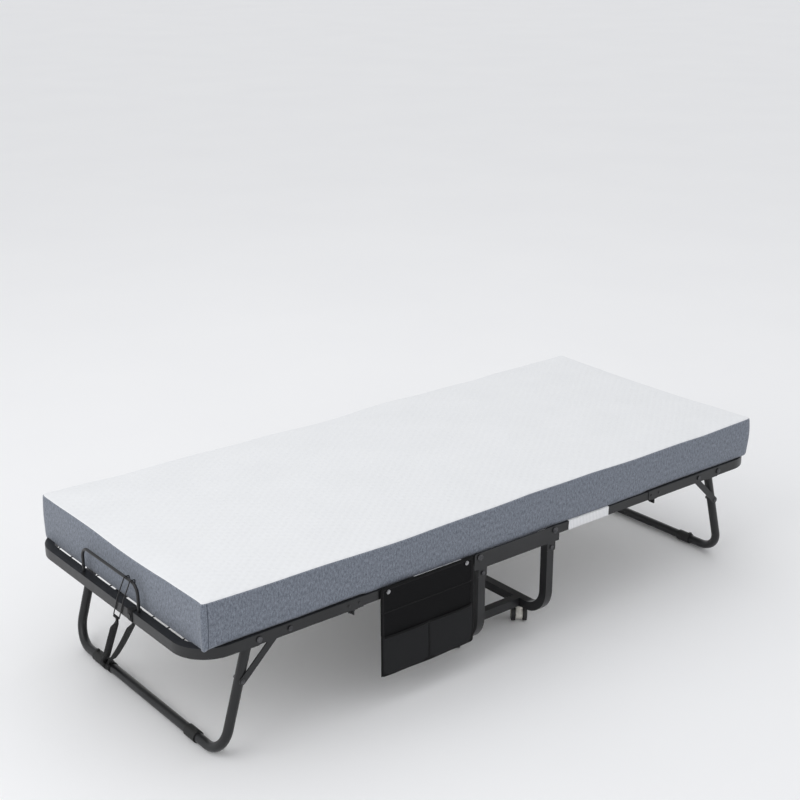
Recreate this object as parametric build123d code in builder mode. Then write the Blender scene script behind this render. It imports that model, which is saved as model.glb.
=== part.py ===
from build123d import *
from math import atan2, cos, degrees, radians, sin
import os

# Folding guest bed on casters, in millimetres. X runs along the bed with the head end at -X,
# Y runs across it, Z is up and the floor is z = 0. The origin is on the floor below the centre.
# The bed stands open, ready for use. Deck halves and legs are drawn at the foot end (+X), and
# the head end is their mirror image.

# Deck and mattress
deck_half_length = 995.0
deck_width = 820.0
rail_width = 25.0
rail_height = 28.0
rail_centre_z = 318.0
rail_bend_radius = 85.0
tube_wall = 1.5
frame_wall = 1.4
inner_rail_width = 22.0
inner_rail_height = 25.0
mattress_length = 1936.0
mattress_width = 816.0
mattress_thickness = 124.0
mattress_bottom_z = 332.0
mattress_corner_radius = 20.0
mattress_edge_radius = 8.0
mattress_joint_x = 140.0
mattress_joint_gap = 0.4

# Fold pivots, where each half of the deck turns on the centre carriage
pivot_x = 136.0
pivot_z = 322.0
bolt_radius = 4.0
running_gap = 0.08

# Deck members, each placed by its distance from the middle of the bed
splice_x = 515.0
splice_overlap = 40.0
outer_crossbar_x = 590.0
middle_crossbar_x = 467.0
inner_crossbar_x = 160.0
crossbar_width = 30.0
crossbar_height = 18.0
crossbar_top_z = 326.0
spine_width = 25.0
wire_radius = 1.7
wire_pitch = 70.0
wire_weld_depth = 0.5
wire_end_gap = 0.8

# Centre carriage
carriage_tube = 25.0
carriage_x = 125.0
carriage_bottom_z = 58.0
carriage_top_z = 298.0
carriage_bend_radius = 67.0
floor_bar_y = 295.0
side_plate_thickness = 3.0
side_plate_half_length = 154.0
side_plate_top_z = 334.0
side_plate_bottom_z = 288.0
side_plate_ear_z = 262.0
side_plate_screw_z = 274.0
centre_bar_x = 100.0
centre_bar_width = 22.0
centre_bar_height = 20.0
centre_bar_top_z = 310.0

# Casters
caster_axle_z = 25.0
caster_trail = 12.0
caster_heading = -39.0
tyre_radius = 25.0
tyre_bore_radius = 18.0
caster_width = 45.0
caster_wheel_width = 12.0
caster_axle_radius = 3.0
caster_stem_radius = 5.0
caster_neck_top_z = 53.0

# Folding legs
leg_radius = 12.5
leg_pivot_x = 820.0
leg_lean = 16.0
leg_y = 367.0
leg_bend_radius = 70.0
foot_sleeve_radius = 15.5
foot_sleeve_y = 235.0
foot_sleeve_length = 46.0
brace_pin_x = 733.0
brace_on_leg = 117.0
brace_width = 18.0
brace_thickness = 3.0
brace_inner_y = 380.2
brace_hook_radius = 13.0
brace_slot_width = 9.6
brace_slot_angle = 29.0
brace_bolt_radius = 3.0

# Mattress stops
hoop_radius = 4.0
hoop_half_width = 140.0
hoop_top_z = 402.0
hoop_bend_radius = 28.0

# Soft trim
organizer_inner_x = 160.0
organizer_width = 304.0
organizer_top_z = 335.0
organizer_hinge_z = 303.0
organizer_bottom_z = 90.0
organizer_back_y = 412.0
fabric_thickness = 1.5
pocket_depth = 8.0
pocket_top_z = 202.0
snap_inset = 23.0
snap_rise = 3.0
snap_radius = 6.0
band_inner_x = 193.0
band_width = 157.0
band_thickness = 1.0
band_gap = 0.2
band_reach_y = 313.0
strap_y = 119.0
strap_hook_y = 104.0
strap_width = 22.0
strap_thickness = 1.6
strap_foot_y = 190.0
strap_link_y = 50.0
strap_link_z = 287.0
strap_wire_radius = 1.5

# Small plates, rivets and bolts
plate_gauge = 3.0
tab_x = 28.0
tab_length = 24.0
tab_width = 20.0
tab_drop = 16.0
tab_bolt_drop = 10.0
tab_bolt_radius = 2.5
tab_head_length = 9.0
rivet_spread = 16.0
rivet_radius = 4.0
rivet_height = 1.8
rivet_round = 1.2
leg_stop_drop = 22.0
leg_stop_gap = 2.0
leg_stop_length = 30.0
bracket_shift = 4.0
bracket_drop = 10.0
bracket_length = 46.0
bracket_height = 44.0
bracket_round = 5.0
lip_length = 40.0
bolt_head_height = 4.0
nut_height = 5.0

# Places that follow from the sizes above
rail_y = deck_width / 2 - rail_width / 2
rail_inner_y = deck_width / 2 - rail_width
rail_top_z = rail_centre_z + rail_height / 2
rail_bottom_z = rail_centre_z - rail_height / 2
inner_rail_inner_y = rail_y - inner_rail_width / 2
inner_rail_outer_y = rail_y + inner_rail_width / 2
inner_rail_top_z = rail_centre_z + inner_rail_height / 2
inner_rail_bottom_z = rail_centre_z - inner_rail_height / 2
rail_end_x = pivot_x - 8.0
end_rail_x = deck_half_length - rail_width / 2
side_plate_y = deck_width / 2 - 0.5
carriage_y = side_plate_y - carriage_tube / 2
carriage_bar_z = carriage_bottom_z + carriage_tube / 2
leg_drop = (rail_centre_z - foot_sleeve_radius) / cos(radians(leg_lean))
leg_foot_x = leg_pivot_x + leg_drop * sin(radians(leg_lean))
crossbar_z = crossbar_top_z - crossbar_height / 2
long_wire_z = crossbar_top_z + wire_radius
cross_wire_z = long_wire_z - 2 * wire_radius + wire_weld_depth
long_wire_ys = [side * (step + 0.5) * wire_pitch for side in (-1, 1) for step in range(5)]
both_sides = (-1, 1)


def side_slab(side, inner, outer):
    """A vertical lengthwise plane and the depth to extrude it, from inner to outer beside the bed."""
    low, high = sorted((side * inner, side * outer))
    return Plane(origin=(0, high, 0), x_dir=(1, 0, 0), z_dir=(0, -1, 0)), high - low


def group(*solids):
    """Separate solids kept side by side as one piece."""
    return Compound(children=list(solids))


def straight_tube(length, width, height, centre, turn=0.0):
    """A hollow rectangular tube about a point, along X unless it is turned about Z."""
    with BuildPart(Plane(origin=centre).rotated((0, 0, turn))) as tube:
        Box(length, width, height)
        Box(length, width - 2 * tube_wall, height - 2 * tube_wall, mode=Mode.SUBTRACT)
    return tube.part


def bent_box_tube(plane, points, bend_radius, in_plane, across, wall):
    """A hollow rectangular tube bent in a plane."""
    with BuildPart() as tube:
        with BuildLine(plane) as path:
            FilletPolyline(*points, radius=bend_radius)
        with BuildSketch(Plane(origin=path.line @ 0, x_dir=plane.z_dir, z_dir=path.line % 0)):
            Rectangle(across, in_plane)
            Rectangle(across - 2 * wall, in_plane - 2 * wall, mode=Mode.SUBTRACT)
        sweep()
    return tube.part


def bent_rod(plane, points, bend_radius, radius, wall=0.0):
    """A round rod, or a round tube when it has a wall, bent in a plane."""
    with BuildPart() as rod:
        with BuildLine(plane) as path:
            FilletPolyline(*points, radius=bend_radius)
        with BuildSketch(Plane(origin=path.line @ 0, z_dir=path.line % 0)):
            Circle(radius)
            if wall:
                Circle(radius - wall, mode=Mode.SUBTRACT)
        sweep()
    return rod.part


def cross_bolt(side, x, z, inner_y, outer_y, radius, head_radius, head_height=bolt_head_height):
    """A bolt across the bed: a domed head outside outer_y and a hexagon nut inside inner_y."""
    grip = outer_y - inner_y
    with BuildPart(Plane(origin=(x, side * outer_y, z), x_dir=(1, 0, 0), z_dir=(0, side, 0))) as bolt:
        Cylinder(radius, grip + nut_height, align=(Align.CENTER, Align.CENTER, Align.MAX))
        Cylinder(head_radius, head_height, align=(Align.CENTER, Align.CENTER, Align.MIN))
        fillet(bolt.faces().sort_by(Axis.Y)[0 if side < 0 else -1].edges(), head_height / 2)
        with BuildSketch(Plane(origin=(x, side * inner_y, z), x_dir=(1, 0, 0), z_dir=(0, -side, 0))):
            RegularPolygon(1.6 * radius, 6, major_radius=False)
        extrude(amount=nut_height)
    return bolt.part


# ---- deck half -------------------------------------------------------------------------------

def outer_frame():
    """The U of tube round the end of the deck, drilled for the leg bolts, brace pins and hoop."""
    points = [(splice_x, -rail_y), (end_rail_x, -rail_y), (end_rail_x, rail_y), (splice_x, rail_y)]
    tube = bent_box_tube(Plane.XY.offset(rail_centre_z), points, rail_bend_radius,
                         rail_width, rail_height, frame_wall)
    with BuildPart() as frame:
        add(tube)
        with Locations((leg_pivot_x, 0, rail_centre_z), (brace_pin_x, 0, rail_centre_z)):
            Cylinder(bolt_radius, deck_width + 10, rotation=(90, 0, 0), mode=Mode.SUBTRACT)
        with Locations(*[(end_rail_x, side * hoop_half_width, rail_top_z) for side in both_sides]):
            Cylinder(hoop_radius, 4 * frame_wall, mode=Mode.SUBTRACT)
    return frame.part


def side_rails():
    """The straight rails that plug into the outer frame and turn on the fold pivots."""
    length = splice_x + splice_overlap - rail_end_x
    rails = []
    for side in both_sides:
        centre = (rail_end_x + length / 2, side * rail_y, rail_centre_z)
        with BuildPart() as rail:
            add(straight_tube(length, inner_rail_width, inner_rail_height, centre))
            with Locations((pivot_x, side * rail_y, pivot_z)):
                Cylinder(bolt_radius + running_gap, 2 * inner_rail_width, rotation=(90, 0, 0), mode=Mode.SUBTRACT)
        rails.append(rail.part)
    return group(*rails)


def rail_caps():
    """Plastic plugs over the pivot ends of the side rails."""
    caps = []
    for side in both_sides:
        with BuildPart(Plane(origin=(rail_end_x, side * rail_y, rail_centre_z))) as cap:
            Box(1.4, inner_rail_width, inner_rail_height, align=(Align.MAX, Align.CENTER, Align.CENTER))
            fillet(cap.edges().filter_by(Axis.X), 2.0)
        caps.append(cap.part)
    return group(*caps)


def crossbars():
    """Three tubes across the deck: one in its outer section and two in its inner section."""
    places = ((outer_crossbar_x, rail_inner_y), (middle_crossbar_x, inner_rail_inner_y),
              (inner_crossbar_x, inner_rail_inner_y))
    return group(*[straight_tube(2 * reach, crossbar_width, crossbar_height, (x, 0, crossbar_z), turn=90)
                   for x, reach in places])


def spine_bars():
    """The bars along the middle of the deck, between the crossbars."""
    half = crossbar_width / 2
    spans = ((outer_crossbar_x + half, deck_half_length - rail_width),
             (inner_crossbar_x + half, middle_crossbar_x - half))
    return group(*[straight_tube(end - start, spine_width, crossbar_height, ((start + end) / 2, 0, crossbar_z))
                   for start, end in spans])


def wire_panel(start, end, cross_xs, cross_reaches):
    """A welded grid: long wires over the crossbars and cross wires just below them."""
    with BuildPart() as panel:
        with Locations(*[((start + end) / 2, y, long_wire_z) for y in long_wire_ys]):
            Cylinder(wire_radius, end - start, rotation=(0, 90, 0))
        for x, reach in zip(cross_xs, cross_reaches):
            with Locations((x, 0, cross_wire_z)):
                Cylinder(wire_radius, 2 * reach, rotation=(90, 0, 0))
        with Locations(((start + end) / 2, 0, crossbar_z)):
            Box(end - start, spine_width, crossbar_height, mode=Mode.SUBTRACT)
    return panel.part


def wire_grid():
    """The two wire panels. Beside the legs the cross wires stop just past the last long wire."""
    half = crossbar_width / 2
    outer_end = deck_half_length - rail_width
    outer_gap = (outer_end - outer_crossbar_x - half) / 5
    inner_gap = (middle_crossbar_x - inner_crossbar_x - crossbar_width) / 5
    outer_xs = [outer_crossbar_x + half + step * outer_gap for step in range(1, 5)]
    inner_xs = [inner_crossbar_x + half + step * inner_gap for step in range(1, 5)]
    short_reach = 4.5 * wire_pitch + 2 * wire_radius
    outer = wire_panel(outer_crossbar_x - half, outer_end - wire_end_gap, outer_xs, (short_reach,) * 3 + (rail_inner_y - wire_end_gap,))
    inner = wire_panel(inner_crossbar_x - half, middle_crossbar_x + half, inner_xs, (inner_rail_inner_y,) * 4)
    return group(outer, inner)


def splice_tabs():
    """Tabs bolted under the rails where the outer frame grips the side rails, and the rivets outside."""
    pieces = []
    for side in both_sides:
        with BuildPart(Plane(origin=(splice_x + tab_x, side * rail_y, rail_bottom_z))) as tab:
            Box(tab_length, tab_width, plate_gauge, align=(Align.CENTER, Align.CENTER, Align.MAX))
            Box(plate_gauge, tab_width, tab_drop, align=(Align.CENTER, Align.CENTER, Align.MAX))
            with Locations((0, 0, -tab_bolt_drop)):
                Cylinder(2 * tab_bolt_radius, tab_head_length, rotation=(0, 90, 0))
                Cylinder(tab_bolt_radius, 2 * tab_head_length, rotation=(0, 90, 0))
        pieces.append(tab.part)
        for x in (splice_x + tab_x - rivet_spread, splice_x + tab_x + rivet_spread):
            face = Plane(origin=(x, side * deck_width / 2, rail_centre_z), x_dir=(1, 0, 0), z_dir=(0, side, 0))
            with BuildPart(face) as rivet:
                Cylinder(rivet_radius, rivet_height, align=(Align.CENTER, Align.CENTER, Align.MIN))
                fillet(rivet.faces().sort_by(Axis.Y)[0 if side < 0 else -1].edges(), rivet_round)
            pieces.append(rivet.part)
    return group(*pieces)


def leg_brackets():
    """A plate inside each rail at the leg pivot, a flange that stops the leg, and a lip under the rail."""
    lean = radians(leg_lean)
    down = Vector(sin(lean), 0, -cos(lean))
    outward = Vector(cos(lean), 0, sin(lean))
    pivot = Vector(leg_pivot_x, 0, rail_centre_z)
    stop = pivot + down * leg_stop_drop + outward * (leg_radius + leg_stop_gap)
    brackets = []
    for side in both_sides:
        plane, depth = side_slab(side, rail_inner_y - plate_gauge, rail_inner_y)
        flange_plane, flange_depth = side_slab(side, leg_y - leg_radius, rail_inner_y)
        lip_plane, lip_depth = side_slab(side, rail_inner_y - plate_gauge, rail_inner_y + tab_width)
        with BuildPart() as bracket:
            with BuildSketch(plane):
                with Locations((leg_pivot_x + bracket_shift, rail_centre_z - bracket_drop)):
                    RectangleRounded(bracket_length, bracket_height, bracket_round)
                with Locations((leg_pivot_x, rail_centre_z)):
                    Circle(bolt_radius, mode=Mode.SUBTRACT)
            extrude(amount=depth)
            with BuildSketch(flange_plane):
                with Locations((stop.X, stop.Z)):
                    Rectangle(plate_gauge, leg_stop_length, rotation=leg_lean)
            extrude(amount=flange_depth)
            with BuildSketch(lip_plane):
                with Locations((leg_pivot_x + bracket_shift, rail_bottom_z - plate_gauge / 2)):
                    Rectangle(lip_length, plate_gauge)
            extrude(amount=lip_depth)
            with Locations((leg_pivot_x + 2 * bracket_shift, side * rail_y, rail_bottom_z - plate_gauge)):
                Cylinder(2 * tab_bolt_radius, bolt_head_height, align=(Align.CENTER, Align.CENTER, Align.MAX))
        brackets.append(bracket.part)
    return group(*brackets)


def leg_pivot_bolts():
    """The bolts that the leg turns on, and the pins that the brace hooks sit on."""
    pieces = []
    for side in both_sides:
        pieces.append(cross_bolt(side, leg_pivot_x, rail_centre_z, leg_y - leg_radius - 1, deck_width / 2,
                                 bolt_radius, 8))
        plane, depth = side_slab(side, brace_inner_y - 0.3, deck_width / 2)
        head_plane, head_depth = side_slab(side, deck_width / 2, deck_width / 2 + 3)
        with BuildPart() as pin:
            with BuildSketch(plane):
                with Locations((brace_pin_x, rail_centre_z)):
                    Circle(bolt_radius)
            extrude(amount=depth)
            with BuildSketch(head_plane):
                with Locations((brace_pin_x, rail_centre_z)):
                    Circle(6.5)
            extrude(amount=head_depth)
        pieces.append(pin.part)
    return group(*pieces)


def mattress_hoop():
    """The wire hoop on the end rail that keeps the mattress from sliding off."""
    plane = Plane(origin=(end_rail_x, 0, 0), x_dir=(0, 1, 0), z_dir=(1, 0, 0))
    foot_z = rail_top_z - frame_wall
    points = [(-hoop_half_width, foot_z), (-hoop_half_width, hoop_top_z),
              (hoop_half_width, hoop_top_z), (hoop_half_width, foot_z)]
    return bent_rod(plane, points, hoop_bend_radius, hoop_radius)


def mattress_half():
    """The half of the mattress that folds up with the deck, rounded at its two outer corners."""
    with BuildPart() as pad:
        with BuildSketch(Plane.XY.offset(mattress_bottom_z)) as outline:
            with Locations((mattress_joint_x, 0)):
                Rectangle(mattress_length / 2 - mattress_joint_x, mattress_width, align=(Align.MIN, Align.CENTER))
            fillet(outline.vertices().group_by(Axis.X)[-1], mattress_corner_radius)
        extrude(amount=mattress_thickness)
        outer_edges = pad.edges().group_by(Axis.Z)[-1].filter_by_position(
            Axis.X, mattress_joint_x + 1, mattress_length)
        fillet(outer_edges, mattress_edge_radius)
    return pad.part


def retaining_bands():
    """Elastic bands that wrap the side rails below the mattress and hold the outermost long wires."""
    bands = []
    for side in both_sides:
        outer = side * (inner_rail_outer_y + band_gap + band_thickness / 2)
        inner = side * (inner_rail_inner_y - 2)
        top = inner_rail_top_z + band_gap + band_thickness / 2
        bottom = inner_rail_bottom_z - band_gap - band_thickness / 2
        wire_bottom = cross_wire_z - wire_radius - band_gap - band_thickness
        start = Plane(origin=(band_inner_x, 0, 0), x_dir=(0, 1, 0), z_dir=(1, 0, 0))
        with BuildPart() as band:
            with BuildSketch(start):
                with BuildLine() as route:
                    Polyline((inner, top), (outer, top), (outer, bottom), (inner, bottom),
                             (side * band_reach_y, wire_bottom))
                trace(route.line, band_thickness)
            extrude(amount=band_width)
        bands.append(band.part)
    return group(*bands)


# ---- folding leg -----------------------------------------------------------------------------

def leg():
    """The U of round tube that swings under the deck, with domed ends round its pivot bolts."""
    lean = radians(leg_lean)
    plane = Plane(origin=(leg_pivot_x, 0, rail_centre_z), x_dir=(0, 1, 0), z_dir=(-cos(lean), 0, -sin(lean)))
    points = [(-leg_y, 0), (-leg_y, leg_drop), (leg_y, leg_drop), (leg_y, 0)]
    tube = bent_rod(plane, points, leg_bend_radius, leg_radius, wall=tube_wall)
    bolt_x = leg_pivot_x + brace_on_leg * sin(lean)
    bolt_z = rail_centre_z - brace_on_leg * cos(lean)
    with BuildPart() as bent:
        add(tube)
        for side in both_sides:
            with Locations((leg_pivot_x, side * leg_y, rail_centre_z)):
                Sphere(leg_radius)
                Sphere(leg_radius - tube_wall, mode=Mode.SUBTRACT)
                Cylinder(bolt_radius + running_gap, 3 * leg_radius, rotation=(90, 0, 0), mode=Mode.SUBTRACT)
            with Locations((bolt_x, side * leg_y, bolt_z)):
                Cylinder(brace_bolt_radius, 3 * leg_radius, rotation=(90, 0, 0), mode=Mode.SUBTRACT)
    return bent.part


def foot_sleeves():
    """Rubber sleeves on the bottom bar of the leg, each with a short grip tab."""
    sleeves = []
    for side in both_sides:
        with BuildPart(Plane(origin=(leg_foot_x, side * foot_sleeve_y, foot_sleeve_radius))) as sleeve:
            Cylinder(foot_sleeve_radius, foot_sleeve_length, rotation=(90, 0, 0))
            with Locations((0, side * (foot_sleeve_length / 2 - 4), foot_sleeve_radius)):
                Box(9, 8, 7)
            Cylinder(leg_radius, foot_sleeve_length, rotation=(90, 0, 0), mode=Mode.SUBTRACT)
        sleeves.append(sleeve.part)
    return group(*sleeves)


def braces():
    """Flat braces bolted to the leg, whose open hooks sit on the pins in the rails."""
    lean = radians(leg_lean)
    foot = Vector(leg_pivot_x + brace_on_leg * sin(lean), rail_centre_z - brace_on_leg * cos(lean))
    hook = Vector(brace_pin_x, rail_centre_z)
    run = hook - foot
    middle = (foot + hook) * 0.5
    slot = Vector(1, 0).rotate(Axis.Z, brace_slot_angle) * brace_hook_radius
    bars = []
    for side in both_sides:
        plane, depth = side_slab(side, brace_inner_y, brace_inner_y + brace_thickness)
        with BuildPart() as bar:
            with BuildSketch(plane):
                with Locations((middle.X, middle.Y)):
                    SlotCenterToCenter(run.length, brace_width, rotation=degrees(atan2(run.Y, run.X)))
                with Locations((hook.X, hook.Y)):
                    Circle(brace_hook_radius)
                    Circle(brace_slot_width / 2, mode=Mode.SUBTRACT)
                with Locations((hook.X + slot.X, hook.Y + slot.Y)):
                    Rectangle(2 * brace_hook_radius, brace_slot_width, rotation=brace_slot_angle,
                              mode=Mode.SUBTRACT)
                with Locations((foot.X, foot.Y)):
                    Circle(brace_bolt_radius + running_gap, mode=Mode.SUBTRACT)
            extrude(amount=depth)
        bars.append(bar.part)
    return group(*bars)


def brace_bolts():
    """The bolts through the leg that the braces turn on."""
    lean = radians(leg_lean)
    x = leg_pivot_x + brace_on_leg * sin(lean)
    z = rail_centre_z - brace_on_leg * cos(lean)
    outer = brace_inner_y + brace_thickness + 0.2
    return group(*[cross_bolt(side, x, z, leg_y - leg_radius, outer, brace_bolt_radius, 6, head_height=1.3)
                   for side in both_sides])


# ---- centre carriage -------------------------------------------------------------------------

def carriage_hoop(x):
    """A U of square tube under the middle of the bed, drilled for the caster stems."""
    plane = Plane(origin=(x, 0, 0), x_dir=(0, 1, 0), z_dir=(1, 0, 0))
    points = [(-carriage_y, carriage_top_z), (-carriage_y, carriage_bar_z),
              (carriage_y, carriage_bar_z), (carriage_y, carriage_top_z)]
    tube = bent_box_tube(plane, points, carriage_bend_radius, carriage_tube, carriage_tube, tube_wall)
    with BuildPart() as hoop:
        add(tube)
        with Locations(*[(x, side * floor_bar_y, carriage_bottom_z) for side in both_sides]):
            Cylinder(caster_stem_radius, 4 * tube_wall, mode=Mode.SUBTRACT)
        with Locations((x, 0, side_plate_screw_z)):
            Cylinder(brace_bolt_radius, deck_width + 10, rotation=(90, 0, 0), mode=Mode.SUBTRACT)
    return hoop.part


def floor_bars():
    """The two bars that join the hoops just above the casters."""
    length = 2 * carriage_x - carriage_tube
    return group(*[straight_tube(length, carriage_tube, carriage_tube, (0, side * floor_bar_y, carriage_bar_z))
                   for side in both_sides])


def side_plate(side):
    """The plate outside the rails that carries the fold pivots and stops the open halves."""
    plane, depth = side_slab(side, side_plate_y, side_plate_y + side_plate_thickness)
    stop_plane, stop_depth = side_slab(side, side_plate_y - 14, side_plate_y)
    with BuildPart() as plate:
        with BuildSketch(plane) as outline:
            with Locations((0, (side_plate_top_z + side_plate_bottom_z) / 2)):
                Rectangle(2 * side_plate_half_length, side_plate_top_z - side_plate_bottom_z)
            with Locations(*[(end * carriage_x, side_plate_ear_z) for end in (-1, 1)]):
                Rectangle(30, 40, align=(Align.CENTER, Align.MIN))
            fillet(outline.vertices().group_by(Axis.Y)[0], 6)
            fillet(outline.vertices().group_by(Axis.Y)[-1], 8)
            with Locations(*[(end * pivot_x, pivot_z) for end in (-1, 1)]):
                Circle(bolt_radius, mode=Mode.SUBTRACT)
            with Locations(*[(end * carriage_x, side_plate_screw_z) for end in (-1, 1)]):
                Circle(brace_bolt_radius, mode=Mode.SUBTRACT)
        extrude(amount=depth)
        with BuildSketch(stop_plane):
            with Locations(*[(end * (side_plate_half_length - 4.5), inner_rail_bottom_z - 2.2) for end in (-1, 1)]):
                Rectangle(9, 3)
        extrude(amount=stop_depth)
    return plate.part


def centre_deck_frame():
    """Two tubes between the side plates and a short bar that joins them."""
    z = centre_bar_top_z - centre_bar_height / 2
    tubes = [straight_tube(2 * side_plate_y, centre_bar_width, centre_bar_height, (end * centre_bar_x, 0, z), turn=90)
             for end in (-1, 1)]
    spine_length = 2 * centre_bar_x - centre_bar_width
    return group(*tubes, straight_tube(spine_length, spine_width, centre_bar_height, (0, 0, z)))


def centre_deck_wires():
    """Short wires over the centre of the deck, welded to one cross wire."""
    z = centre_bar_top_z + wire_radius
    with BuildPart() as wires:
        with Locations(*[(0, y, z) for y in long_wire_ys]):
            Cylinder(wire_radius, 2 * centre_bar_x + centre_bar_width / 2, rotation=(0, 90, 0))
        with Locations((0, 0, z + 2 * wire_radius - wire_weld_depth)):
            Cylinder(wire_radius, 9 * wire_pitch + 4 * wire_radius, rotation=(90, 0, 0))
    return wires.part


def fold_pivot_bolts():
    """The four bolts that the halves of the deck fold on."""
    return group(*[cross_bolt(side, end * pivot_x, pivot_z, inner_rail_inner_y - 1,
                              side_plate_y + side_plate_thickness, bolt_radius, 9)
                   for end in (-1, 1) for side in both_sides])


def side_plate_screws():
    """The screws through the ears of the side plates into the hoops."""
    return group(*[cross_bolt(side, end * carriage_x, side_plate_screw_z, side_plate_y - carriage_tube,
                              side_plate_y + side_plate_thickness, brace_bolt_radius, 6)
                   for end in (-1, 1) for side in both_sides])


def mattress_centre():
    """The middle of the mattress, which bends round the fold."""
    with BuildPart(Plane.XY.offset(mattress_bottom_z)) as pad:
        Box(2 * (mattress_joint_x - mattress_joint_gap), mattress_width, mattress_thickness,
            align=(Align.CENTER, Align.CENTER, Align.MIN))
        fillet(pad.edges().filter_by(Axis.X).group_by(Axis.Z)[-1], mattress_edge_radius)
    return pad.part


# ---- casters ---------------------------------------------------------------------------------

def caster_stems():
    """The stems screwed up into the hoops, each with a hexagon collar that the caster turns under."""
    stems = []
    for end in (-1, 1):
        for side in both_sides:
            with BuildPart(Plane(origin=(end * carriage_x, side * floor_bar_y, 0))) as stem:
                with Locations((0, 0, caster_neck_top_z - 12)):
                    Cylinder(caster_stem_radius, 32, align=(Align.CENTER, Align.CENTER, Align.MIN))
                with BuildSketch(Plane(origin=(end * carriage_x, side * floor_bar_y, carriage_bottom_z))):
                    RegularPolygon(9, 6, major_radius=False)
                extrude(amount=-4)
            stems.append(stem.part)
    return group(*stems)


def caster_frame(x, y):
    """The place of a caster: X along its axle, Z up its stem, with the origin on the floor."""
    heading = radians(caster_heading)
    return Plane(origin=(x, y, 0), x_dir=(cos(heading), sin(heading), 0), z_dir=(0, 0, 1))


def caster_housing(x, y):
    """The plastic body between the wheels, with a round neck that turns on the stem."""
    half_width = caster_width / 2 - caster_wheel_width - 1
    with BuildPart(caster_frame(x, y)) as housing:
        with Locations((0, caster_trail, caster_axle_z)):
            Cylinder(tyre_radius - 4, 2 * half_width, rotation=(0, 90, 0))
        with Locations((0, 0, caster_axle_z + 4)):
            Cylinder(10, caster_neck_top_z - caster_axle_z - 4, align=(Align.CENTER, Align.CENTER, Align.MIN))
        with Locations((0, 0, caster_neck_top_z)):
            Cylinder(14, 2.5, align=(Align.CENTER, Align.CENTER, Align.MAX))
            Cylinder(caster_stem_radius + running_gap, 13, align=(Align.CENTER, Align.CENTER, Align.MAX),
                     mode=Mode.SUBTRACT)
        with Locations((0, caster_trail, caster_axle_z)):
            Cylinder(caster_axle_radius + running_gap, caster_width, rotation=(0, 90, 0), mode=Mode.SUBTRACT)
    return housing.part


def caster_tyres(x, y):
    """The two soft tyres of a caster."""
    centre = (caster_width - caster_wheel_width) / 2
    tyres = []
    for end in (-1, 1):
        with BuildPart(caster_frame(x, y)) as tyre:
            with Locations((end * centre, caster_trail, caster_axle_z)):
                Cylinder(tyre_radius, caster_wheel_width, rotation=(0, 90, 0))
            fillet(tyre.edges().filter_by(GeomType.CIRCLE), 2.5)
            with Locations((end * centre, caster_trail, caster_axle_z)):
                Cylinder(tyre_bore_radius, caster_wheel_width, rotation=(0, 90, 0), mode=Mode.SUBTRACT)
        tyres.append(tyre.part)
    return group(*tyres)


def caster_hubs(x, y):
    """The axle and the two dished hubs that turn with it."""
    centre = (caster_width - caster_wheel_width) / 2
    hub_width = caster_wheel_width - 1
    frame = caster_frame(x, y)
    with BuildPart(frame) as axle:
        with Locations((0, caster_trail, caster_axle_z)):
            Cylinder(caster_axle_radius, caster_width - 4, rotation=(0, 90, 0))
    pieces = [axle.part]
    for end in (-1, 1):
        with BuildPart(frame) as hub:
            with Locations((end * centre, caster_trail, caster_axle_z)):
                Cylinder(tyre_bore_radius, hub_width, rotation=(0, 90, 0))
                Cylinder(caster_axle_radius, hub_width, rotation=(0, 90, 0), mode=Mode.SUBTRACT)
            with Locations((end * (centre + hub_width / 2), caster_trail, caster_axle_z)):
                Cylinder(tyre_bore_radius - 3, 3, rotation=(0, 90, 0), mode=Mode.SUBTRACT)
                Cylinder(6, 3, rotation=(0, 90, 0))
                Cylinder(caster_axle_radius, 6, rotation=(0, 90, 0), mode=Mode.SUBTRACT)
        pieces.append(hub.part)
    return group(*pieces)


# ---- organizer and strap at the head half ------------------------------------------------------

def organizer_hem():
    """The top edge of the hanging organizer, snapped to the near rail."""
    height = organizer_top_z - organizer_hinge_z - 0.5
    corner = (-organizer_inner_x - organizer_width / 2, -organizer_back_y, organizer_top_z)
    with BuildPart(Plane(origin=corner)) as hem:
        Box(organizer_width, fabric_thickness, height, align=(Align.CENTER, Align.MAX, Align.MAX))
    return hem.part


def organizer_pockets():
    """The hanging part of the organizer: a back panel and two open pockets side by side."""
    centre_x = -organizer_inner_x - organizer_width / 2
    pocket_width = (organizer_width - 3 * fabric_thickness) / 2
    depth = pocket_depth + 2 * fabric_thickness
    with BuildPart(Plane(origin=(centre_x, -organizer_back_y, 0))) as pouch:
        with Locations((0, 0, organizer_bottom_z)):
            Box(organizer_width, fabric_thickness, organizer_hinge_z - organizer_bottom_z,
                align=(Align.CENTER, Align.MAX, Align.MIN))
            Box(organizer_width, depth, pocket_top_z - organizer_bottom_z,
                align=(Align.CENTER, Align.MAX, Align.MIN))
        for end in (-1, 1):
            with Locations((end * (pocket_width + fabric_thickness) / 2, -fabric_thickness,
                            organizer_bottom_z + fabric_thickness)):
                Box(pocket_width, pocket_depth, pocket_top_z, align=(Align.CENTER, Align.MAX, Align.MIN),
                    mode=Mode.SUBTRACT)
    return pouch.part


def organizer_snaps():
    """The metal snaps through the hem, screwed to the rail."""
    snaps = []
    hem_face_y = organizer_back_y + fabric_thickness
    for x in (-organizer_inner_x - snap_inset, -organizer_inner_x - organizer_width + snap_inset):
        with BuildPart(Plane(origin=(x, -hem_face_y, rail_centre_z + snap_rise), x_dir=(1, 0, 0), z_dir=(0, -1, 0))) as snap:
            Cylinder(snap_radius, 2, align=(Align.CENTER, Align.CENTER, Align.MIN))
            Cylinder(4, 3, align=(Align.CENTER, Align.CENTER, Align.MIN))
        snaps.append(snap.part)
    return group(*snaps)


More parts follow.
